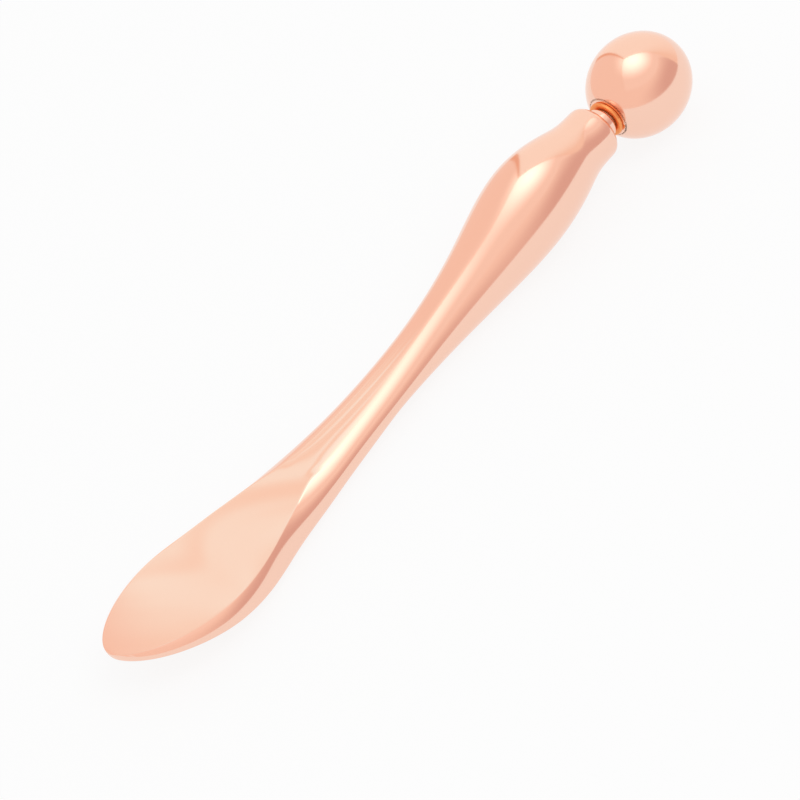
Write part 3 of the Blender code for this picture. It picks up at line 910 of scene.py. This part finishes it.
def make_tent(settings):
    """Light tent round the wand: two walls that meet behind it, a lit ceiling and a dark opening."""
    up = Vector((0, 0, settings.tent_height))
    corner = Vector(settings.tent_corner)
    left, right = direction(LEFT_AZIMUTH, 0) * TENT_WALL, direction(RIGHT_AZIMUTH, 0) * TENT_WALL
    left_wall = glow_material("tent_left_wall", CLOTH_WARM, 1, CLOTH_BRIGHT, LEFT_GLOW,
                              corner + up, *LEFT_REACH)
    right_wall = glow_material("tent_right_wall", CLOTH_PALE, 1, CLOTH_BRIGHT, 1,
                               corner + up * RIGHT_GLOW_RISE, *RIGHT_REACH)
    ceiling = glow_material("tent_ceiling", CLOTH_CEILING, 1, (1, 1, 1), settings.glow,
                            Vector((*CEILING_GLOW_PLACE, up.z)), *CEILING_REACH)
    panel("tent_left", [corner, corner + left, corner + left + up, corner + up], left_wall)
    panel("tent_right", [corner, corner + right, corner + right + up, corner + up], right_wall)
    panel("tent_ceiling", [corner + up, corner + up + left, corner + up + left + right, corner + up + right],
          ceiling)
    make_seams(corner, left, right, up)
    make_front(up)


def make_seams(corner, left, right, up):
    """Seams of the tent: two under the ceiling and one down the back corner."""
    line = glow_material("tent_seam", SEAM_COLOUR, 1, SEAM_COLOUR, 1, corner, *SEAM_REACH)
    low = Vector((0, 0, -SEAM_WIDTH))
    inside = (left.normalized() + right.normalized()).normalized() * SEAM_INSET
    top = corner + up + inside
    for name, run in (("tent_seam_left", left), ("tent_seam_right", right)):
        panel(name, [top, top + run, top + run + low, top + low], line)
    side = right.normalized() * SEAM_WIDTH
    panel("tent_seam_back", [corner + inside, corner + inside + side, top + side, top], line)


def make_front(up):
    """Curtain round the front of the tent, darkest at the opening for the camera."""
    azimuths = [*range(FRONT_START, FRONT_END, FRONT_STEP), FRONT_END]
    edges = [direction(azimuth, 0) * FRONT_DISTANCE + FRONT_MIDDLE for azimuth in azimuths]
    darkest = direction(OPENING_AZIMUTH, 0) * FRONT_DISTANCE + FRONT_MIDDLE + up * OPENING_RISE
    opening = glow_material("tent_opening", CLOTH_WARM, 1, CLOTH_DARK, 1,
                            darkest, *OPENING_REACH, OPENING_SQUEEZE)
    for index, (first, second) in enumerate(zip(edges, edges[1:])):
        panel(f"tent_front_{index}", [first, second, second + up, first + up], opening)


def make_lamp(settings):
    """One large soft lamp above the camera's right."""
    light = bpy.data.lights.new("key", "AREA")
    light.energy = settings.key
    light.size = LAMP_SIZE
    lamp = bpy.data.objects.new("key", light)
    place = direction(LAMP_AZIMUTH, LAMP_ELEVATION) * LAMP_DISTANCE
    lamp.matrix_world = Matrix.Translation(place) @ place.to_track_quat("Z", "Y").to_matrix().to_4x4()
    lamp.visible_glossy = False
    bpy.context.scene.collection.objects.link(lamp)


def make_camera(settings):
    """Camera at the photograph's view: placed by the ball's picture and the wand's own directions."""
    turn, tilt = CAMERA_TURN, CAMERA_TILT
    away = Vector((-math.sin(turn), -math.cos(turn) * math.sin(tilt), math.cos(turn) * math.cos(tilt)))
    along = Vector((math.cos(turn), -math.sin(turn) * math.sin(tilt), math.sin(turn) * math.cos(tilt)))
    across = Vector((0, -math.cos(tilt), -math.sin(tilt)))
    line = (LINE_PIXEL - TIP_PIXEL).normalized()
    middle = Vector((PICTURE_SIZE / 2, PICTURE_SIZE / 2)) - TIP_PIXEL
    middle_along = middle.dot(line)
    middle_across = middle.x * -line.y + middle.y * line.x
    focal = PICTURE_SIZE * settings.lens / SENSOR
    distance = focal * radii(wand_points("ball")).max() / BALL_HALF_PIXELS
    place = (away * distance - along * (BALL_ALONG - middle_along) * distance / focal
             - across * (BALL_ACROSS - middle_across) * distance / focal)
    right = line.x * along - line.y * across
    up = -line.y * along - line.x * across
    data = bpy.data.cameras.new("camera")
    data.lens = settings.lens
    data.sensor_width = SENSOR
    data.clip_start, data.clip_end = CLIP_START, CLIP_END
    camera = bpy.data.objects.new("camera", data)
    camera.matrix_world = (WAND @ Matrix.Translation(place)
                           @ Matrix((right, up, away)).transposed().to_4x4())
    bpy.context.scene.collection.objects.link(camera)
    bpy.context.scene.camera = camera


class WAND_OT_stage(bpy.types.Operator):
    """Floor, light tent, lamp and camera"""
    bl_idname = "wand.stage"
    bl_label = "Stage"

    def execute(self, context):
        settings = context.scene.wand_stage
        context.scene.view_settings.view_transform = "Standard"
        make_world(settings)
        make_floor()
        make_tent(settings)
        make_card()
        make_lamp(settings)
        make_camera(settings)
        return {"FINISHED"}


OPERATORS = (WAND_OT_handle, WAND_OT_ball, WAND_OT_ring, WAND_OT_bead, WAND_OT_bearing, WAND_OT_stage)


class WAND_PT_panel(bpy.types.Panel):
    """Buttons for the pieces and the stage"""
    bl_idname = "WAND_PT_panel"
    bl_label = "Massage wand"
    bl_space_type = "VIEW_3D"
    bl_region_type = "UI"
    bl_category = "Wand"

    def draw(self, context):
        for operator in OPERATORS:
            self.layout.operator(operator.bl_idname)
        for group in SETTINGS:
            settings = getattr(context.scene, group)
            for name in settings.bl_rna.properties.keys()[2:]:
                self.layout.prop(settings, name)


SETTINGS = {
    "wand_handle": HandleSettings,
    "wand_ball": BallSettings,
    "wand_finish": FinishSettings,
    "wand_stage": StageSettings,
}
CLASSES = (*SETTINGS.values(), *OPERATORS, WAND_PT_panel)


def register():
    """Register the classes and hang the settings on the scene."""
    for item in CLASSES:
        bpy.utils.register_class(item)
    for name, group in SETTINGS.items():
        setattr(bpy.types.Scene, name, PointerProperty(type=group))


def unregister():
    """Undo what register does."""
    for name in SETTINGS:
        delattr(bpy.types.Scene, name)
    for item in reversed(CLASSES):
        bpy.utils.unregister_class(item)


def main():
    """Model every piece and set the stage."""
    register()
    bpy.ops.wand.handle()
    bpy.ops.wand.ball()
    bpy.ops.wand.ring()
    bpy.ops.wand.bead()
    bpy.ops.wand.bearing()
    bpy.ops.wand.stage()


if __name__ == "__main__":
    main()
